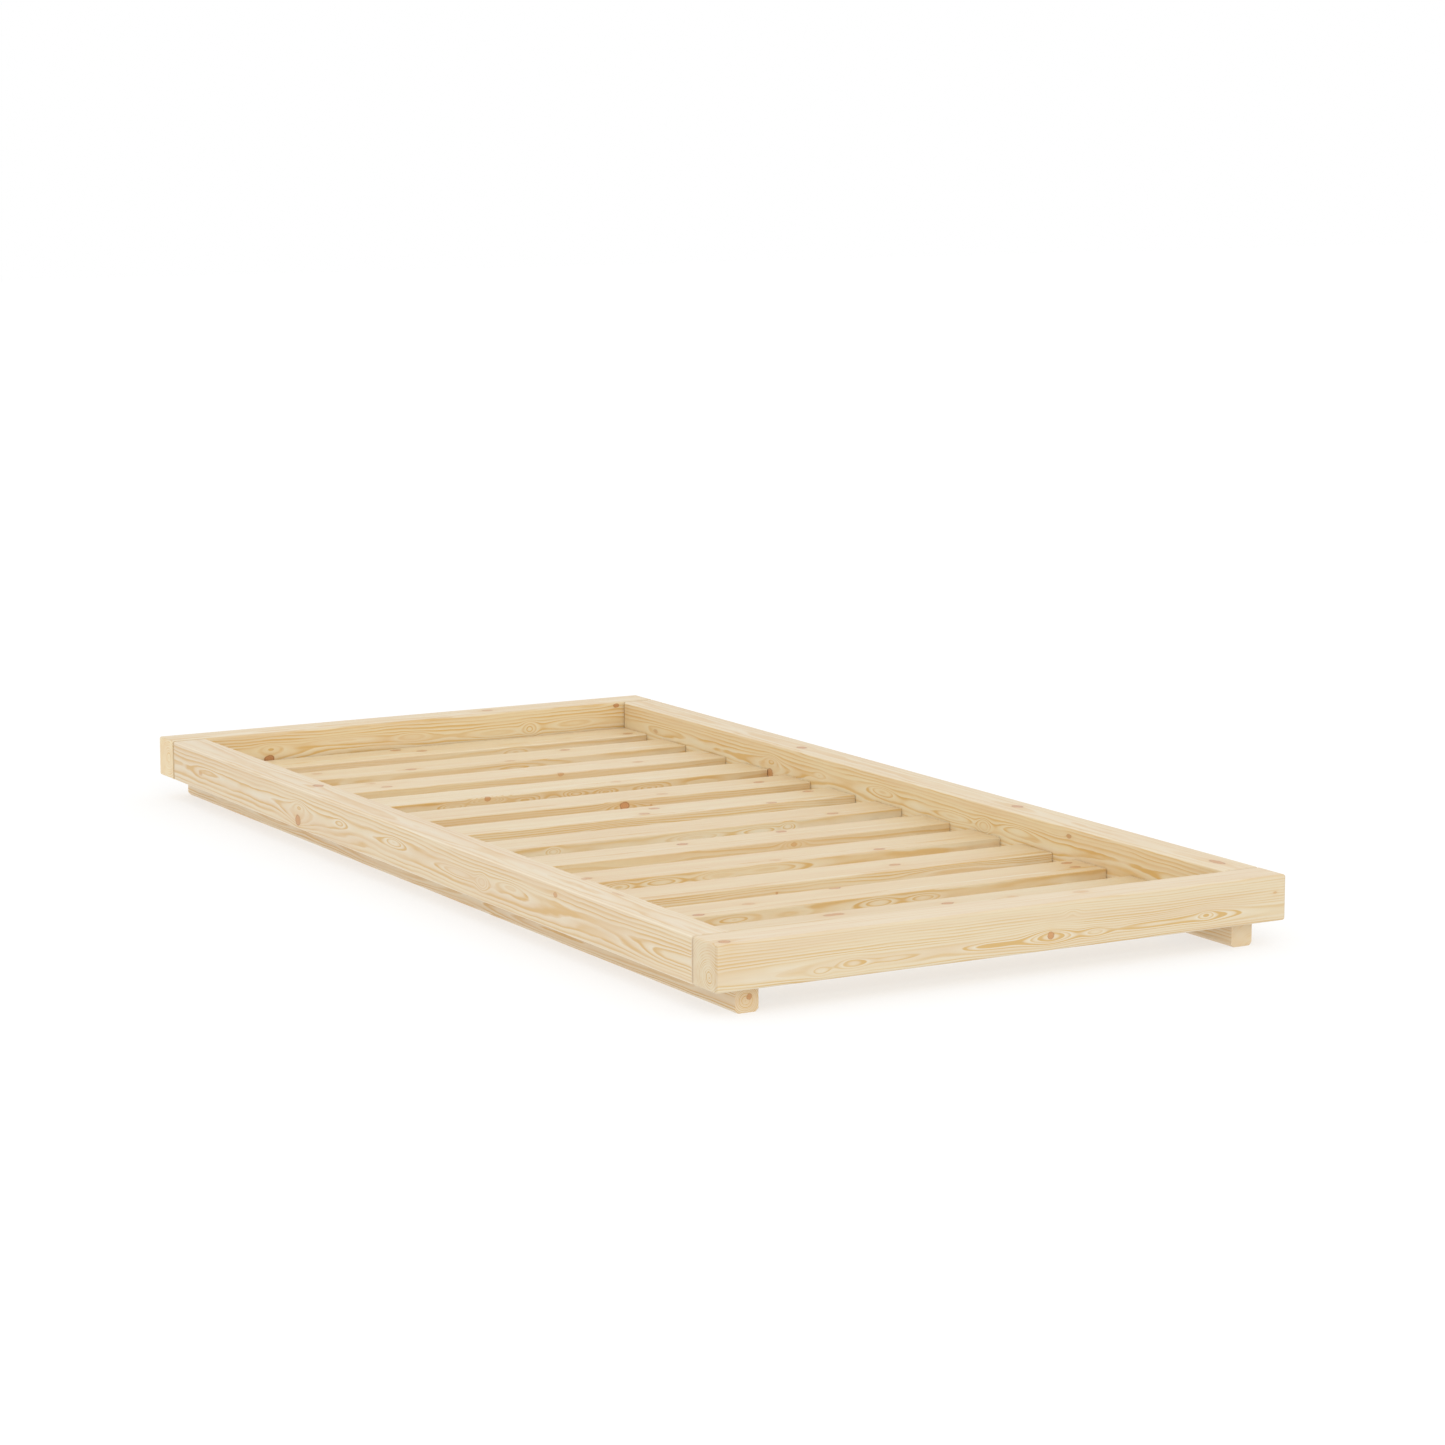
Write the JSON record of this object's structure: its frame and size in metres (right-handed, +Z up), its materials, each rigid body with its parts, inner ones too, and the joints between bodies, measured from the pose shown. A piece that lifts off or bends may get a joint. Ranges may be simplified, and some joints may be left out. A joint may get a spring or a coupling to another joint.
{
  "type": "wooden bed frame",
  "caption": "Low rectangular bed frame of pale knotty softwood: rounded rails around flat cross slats, standing on two inset runners.",
  "frame": {"origin": "on the floor under the middle of the frame", "axes": "+X across the bed to its right side as seen from the foot end, +Y along the bed towards the head end, +Z up"},
  "size_m": [1.04, 2.14, 0.114],
  "materials": {
    "pine_frame": "planed softwood, clear matt lacquer",
    "pine_slats": "planed softwood, untreated",
    "beech_dowel": "fluted hardwood, untreated",
    "zinc_steel": "bright zinc plate",
    "webbing": "woven cotton tape"
  },
  "bodies": {
    "frame": {"foot_rail": "pine_frame", "head_rail": "pine_frame", "left_side_rail": "pine_frame", "right_side_rail": "pine_frame", "left_runner": "pine_frame", "right_runner": "pine_frame", "corner_dowels": "beech_dowel", "corner_studs": "zinc_steel", "crescent_washers": "zinc_steel", "corner_nuts": "zinc_steel", "runner_screws": "zinc_steel"},
    "slat_base": {"slat_01": "pine_slats", "slat_02": "pine_slats", "slat_03": "pine_slats", "slat_04": "pine_slats", "slat_05": "pine_slats", "slat_06": "pine_slats", "slat_07": "pine_slats", "slat_08": "pine_slats", "slat_09": "pine_slats", "slat_10": "pine_slats", "slat_11": "pine_slats", "slat_12": "pine_slats", "slat_13": "pine_slats", "left_tape": "webbing", "right_tape": "webbing", "tape_staples": "zinc_steel"}
  },
  "joints": [
    {"name": "slat_base_lift", "type": "slide", "parent": "frame", "child": "slat_base", "axis": [0, 0, 1], "range_m": [0, 0.15]}
  ]
}
